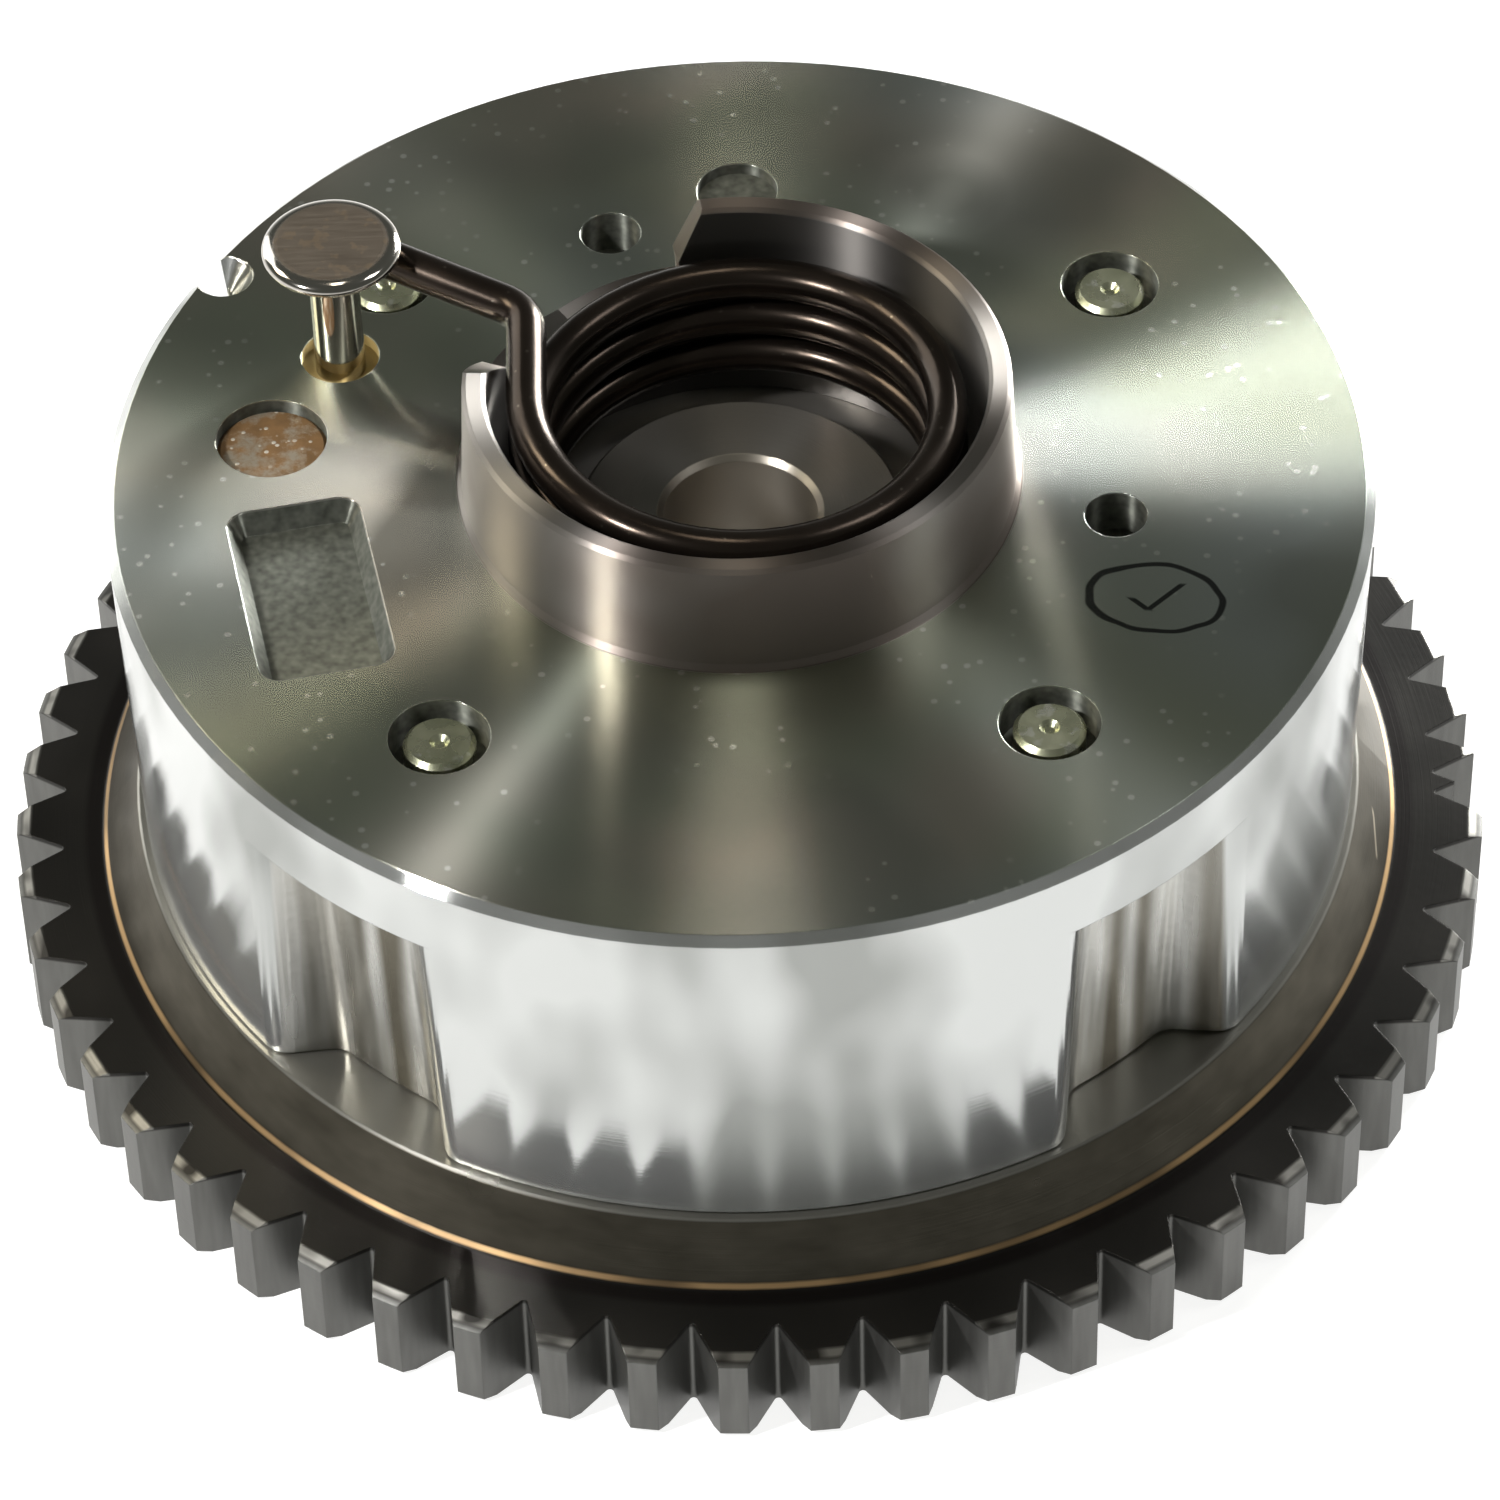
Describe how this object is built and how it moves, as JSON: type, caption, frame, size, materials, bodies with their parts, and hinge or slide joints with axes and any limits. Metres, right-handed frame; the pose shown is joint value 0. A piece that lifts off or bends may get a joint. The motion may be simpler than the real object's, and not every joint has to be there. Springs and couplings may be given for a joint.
{
  "type": "cam phaser",
  "caption": "Hydraulic vane-type cam phaser with a silent-chain sprocket and a torsion bias spring hooked on a headed post.",
  "frame": {"origin": "centre of the sprocket's rear face, on the camshaft axis", "axes": "+Z along the camshaft axis, from the rear face to the front face with the spring; +Y from the axis towards the shallow dimple in the front face; +X completes the right-handed frame"},
  "size_m": [0.1074, 0.1076, 0.0518],
  "materials": {
    "turned_aluminium": "fine-turned face and rim, as-cast pockets",
    "dark_steel": "dark hardened steel with silky grey tooth faces",
    "sintered_steel": "machined sintered steel, slightly brown with old oil",
    "seal_plastic": "dark brown filled plastic",
    "spring_steel": "bright strip",
    "hardened_steel": "ground",
    "rusty_steel": "ground end with brown rust specks",
    "tempered_wire": "oil-tempered wire, dark bronze-black with a sheen",
    "polished_steel": "polished rounded edge, brushed flat top",
    "zinc_plated_steel": "yellowish zinc plating on the ends"
  },
  "bodies": {
    "housing": {"housing": "turned_aluminium", "sprocket": "dark_steel", "bias_spring": "tempered_wire", "spring_post": "polished_steel", "lock_pin_bush": "rusty_steel", "locating_pin": "hardened_steel", "screw_1": "zinc_plated_steel", "screw_2": "zinc_plated_steel", "screw_3": "zinc_plated_steel", "screw_4": "zinc_plated_steel", "shoe_seal_1": "seal_plastic", "shoe_seal_2": "seal_plastic", "shoe_seal_3": "seal_plastic", "shoe_seal_4": "seal_plastic", "shoe_seal_spring_1": "spring_steel", "shoe_seal_spring_2": "spring_steel", "shoe_seal_spring_3": "spring_steel", "shoe_seal_spring_4": "spring_steel"},
    "rotor": {"rotor": "sintered_steel", "lock_pin_cap": "hardened_steel", "lock_pin_spring": "spring_steel", "vane_seal_1": "seal_plastic", "vane_seal_2": "seal_plastic", "vane_seal_3": "seal_plastic", "vane_seal_4": "seal_plastic", "vane_seal_spring_1": "spring_steel", "vane_seal_spring_2": "spring_steel", "vane_seal_spring_3": "spring_steel", "vane_seal_spring_4": "spring_steel"},
    "lock_pin": {"lock_pin": "hardened_steel"}
  },
  "joints": [
    {"name": "rotor_turn", "type": "hinge", "parent": "housing", "child": "rotor", "pos_m": [0, 0, 0.0224], "axis": [0, 0, 1], "range_deg": [0, 25], "stiffness_Nm_per_rad": 2.3, "springref_deg": -25.78, "deforming": ["bias_spring"]},
    {"name": "lock_pin_slide", "type": "slide", "parent": "rotor", "child": "lock_pin", "axis": [0, 0, 1], "range_m": [-0.0034, 0], "stiffness_N_per_m": 1100, "springref_m": 0.0043, "deforming": ["lock_pin_spring"]}
  ]
}
